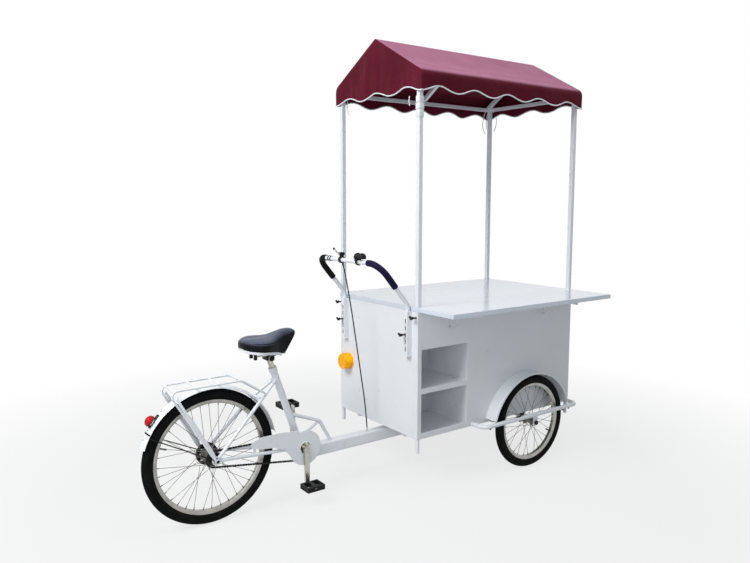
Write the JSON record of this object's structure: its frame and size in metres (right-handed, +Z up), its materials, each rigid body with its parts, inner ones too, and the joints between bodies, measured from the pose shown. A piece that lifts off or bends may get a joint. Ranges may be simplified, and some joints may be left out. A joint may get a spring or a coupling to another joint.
{
  "type": "pedal vending tricycle",
  "caption": "Pedal tricycle with a box counter between two front wheels, side shelves, a folding counter flap, a gable cloth canopy and a swinging rear cycle frame.",
  "frame": {"origin": "on the ground under the middle of the overall length and width", "axes": "+X forward, +Y to the rider's left, +Z up"},
  "size_m": [2.3512, 1.0171, 2.214],
  "materials": {
    "white_paint": "gloss powder coat",
    "counter_white": "high gloss",
    "canopy_cloth": "coated woven cloth, maroon",
    "tyre_black": "matt",
    "rim_alloy": "brushed",
    "spoke_steel": "bright",
    "dark_steel": "oiled",
    "crank_steel": "worn",
    "black_plastic": "matt",
    "grip_navy": "ribbed foam",
    "grip_black": "ribbed foam",
    "saddle_black": "soft sheen",
    "lamp_red": "clear lens",
    "inlet_yellow": "satin"
  },
  "bodies": {
    "cart": {"floor_panel": "white_paint", "panel_rear": "white_paint", "panel_front": "white_paint", "panel_right": "white_paint", "panel_left": "white_paint", "corner_tubes": "white_paint", "leg_feet": "white_paint", "shelf_unit": "white_paint", "counter_top": "counter_white", "bracket_legs": "white_paint", "door_hinges": "white_paint", "chassis": "white_paint", "kingpin": "dark_steel", "canopy_posts": "white_paint", "canopy_frame": "white_paint", "canopy_rafters": "white_paint", "canopy_cover": "canopy_cloth", "handlebar": "white_paint", "grip_right": "grip_navy", "grip_left": "grip_black", "bar_sockets": "white_paint", "wing_bolts": "dark_steel", "brake_lever": "black_plastic", "bell": "black_plastic", "brake_cable": "black_plastic", "power_inlet": "inlet_yellow", "guard_rails": "white_paint", "front_axles": "dark_steel", "front_fenders": "white_paint"},
    "rear_end": {"rear_frame": "white_paint", "rear_axle": "dark_steel", "seat_post": "crank_steel", "saddle": "saddle_black", "rear_rack": "white_paint", "rear_fender": "white_paint", "fender_stays": "black_plastic", "tail_lamp": "lamp_red", "chain": "dark_steel", "chain_guard": "white_paint"},
    "front_wheel_right": {"tyre_front_right": "tyre_black", "rim_front_right": "rim_alloy", "spokes_front_right": "spoke_steel"},
    "front_wheel_left": {"tyre_front_left": "tyre_black", "rim_front_left": "rim_alloy", "spokes_front_left": "spoke_steel"},
    "rear_wheel": {"tyre_rear": "tyre_black", "rim_rear": "rim_alloy", "spokes_rear": "spoke_steel", "rear_drum": "dark_steel", "rear_cog": "dark_steel"},
    "crankset": {"cranks": "crank_steel"},
    "pedal_right": {"pedal_right": "black_plastic"},
    "pedal_left": {"pedal_left": "black_plastic"},
    "flap": {"flap": "counter_white", "bracket_arms": "white_paint"},
    "flap_struts": {"bracket_struts": "white_paint"},
    "door_left": {"door_left": "white_paint"}
  },
  "joints": [
    {"name": "steering", "type": "hinge", "parent": "cart", "child": "rear_end", "pos_m": [0.602, 0.075, 0.22], "axis": [0, 0, 1], "range_deg": [-25, 25]},
    {"name": "front_wheel_right_spin", "type": "hinge", "parent": "cart", "child": "front_wheel_right", "pos_m": [0.789, -0.303, 0.25], "axis": [0, 1, 0], "continuous": true},
    {"name": "front_wheel_left_spin", "type": "hinge", "parent": "cart", "child": "front_wheel_left", "pos_m": [0.789, 0.453, 0.25], "axis": [0, 1, 0], "continuous": true},
    {"name": "rear_wheel_spin", "type": "hinge", "parent": "rear_end", "child": "rear_wheel", "pos_m": [-0.868, 0.075, 0.305], "axis": [0, 1, 0], "continuous": true},
    {"name": "crank_spin", "type": "hinge", "parent": "rear_end", "child": "crankset", "pos_m": [-0.415, 0.075, 0.262], "axis": [0, 1, 0], "continuous": true},
    {"name": "pedal_right_spin", "type": "hinge", "parent": "crankset", "child": "pedal_right", "pos_m": [-0.415, -0.044, 0.092], "axis": [0, 1, 0], "continuous": true},
    {"name": "pedal_left_spin", "type": "hinge", "parent": "crankset", "child": "pedal_left", "pos_m": [-0.415, 0.194, 0.432], "axis": [0, 1, 0], "continuous": true},
    {"name": "flap_fold", "type": "hinge", "parent": "cart", "child": "flap", "pos_m": [0.042, -0.2668, 0.888], "axis": [1, 0, 0], "range_deg": [0, 90]},
    {"name": "strut_fold", "type": "hinge", "parent": "cart", "child": "flap_struts", "pos_m": [0.042, -0.2735, 0.816], "axis": [1, 0, 0], "range_deg": [0, 126.6]},
    {"name": "door_left_hinge", "type": "hinge", "parent": "cart", "child": "door_left", "pos_m": [0.069, 0.4265, 0.6], "axis": [0, 0, 1], "range_deg": [0, 110]}
  ],
  "couplings": [
    {"joint": "strut_fold", "follows": "flap_fold", "ratio": 1.4}
  ]
}
